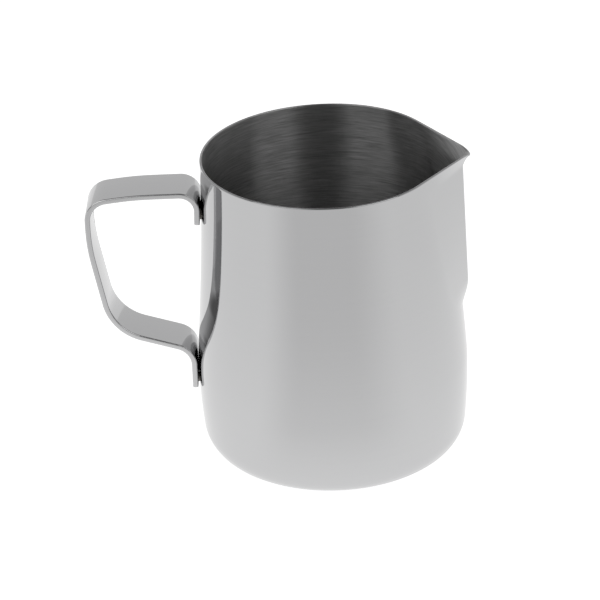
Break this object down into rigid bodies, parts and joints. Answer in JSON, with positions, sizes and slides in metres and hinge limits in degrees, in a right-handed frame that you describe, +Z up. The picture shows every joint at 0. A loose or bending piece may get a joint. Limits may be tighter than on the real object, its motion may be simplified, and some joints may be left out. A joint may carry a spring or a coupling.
{
  "type": "milk frothing pitcher",
  "caption": "Open steel jug with a V-shaped pouring spout, rounded base corner and a flat strap handle, for steaming and pouring milk.",
  "frame": {"origin": "middle of the flat base, on the axis of the round wall", "axes": "+Z up along the jug's axis, +X towards the tip of the spout with the handle on the -X side, so the X-Z plane is the plane of symmetry"},
  "size_m": [0.132, 0.0938, 0.11],
  "materials": {
    "polished_steel": "mirror polished outside, circumferentially brushed inside",
    "handle_steel": "polished, with very fine lengthwise grain",
    "weld_metal": "matte"
  },
  "bodies": {
    "root": {"pitcher_body": "polished_steel", "handle": "handle_steel", "upper_spot_welds": "weld_metal", "lower_spot_welds": "weld_metal"}
  },
  "joints": []
}
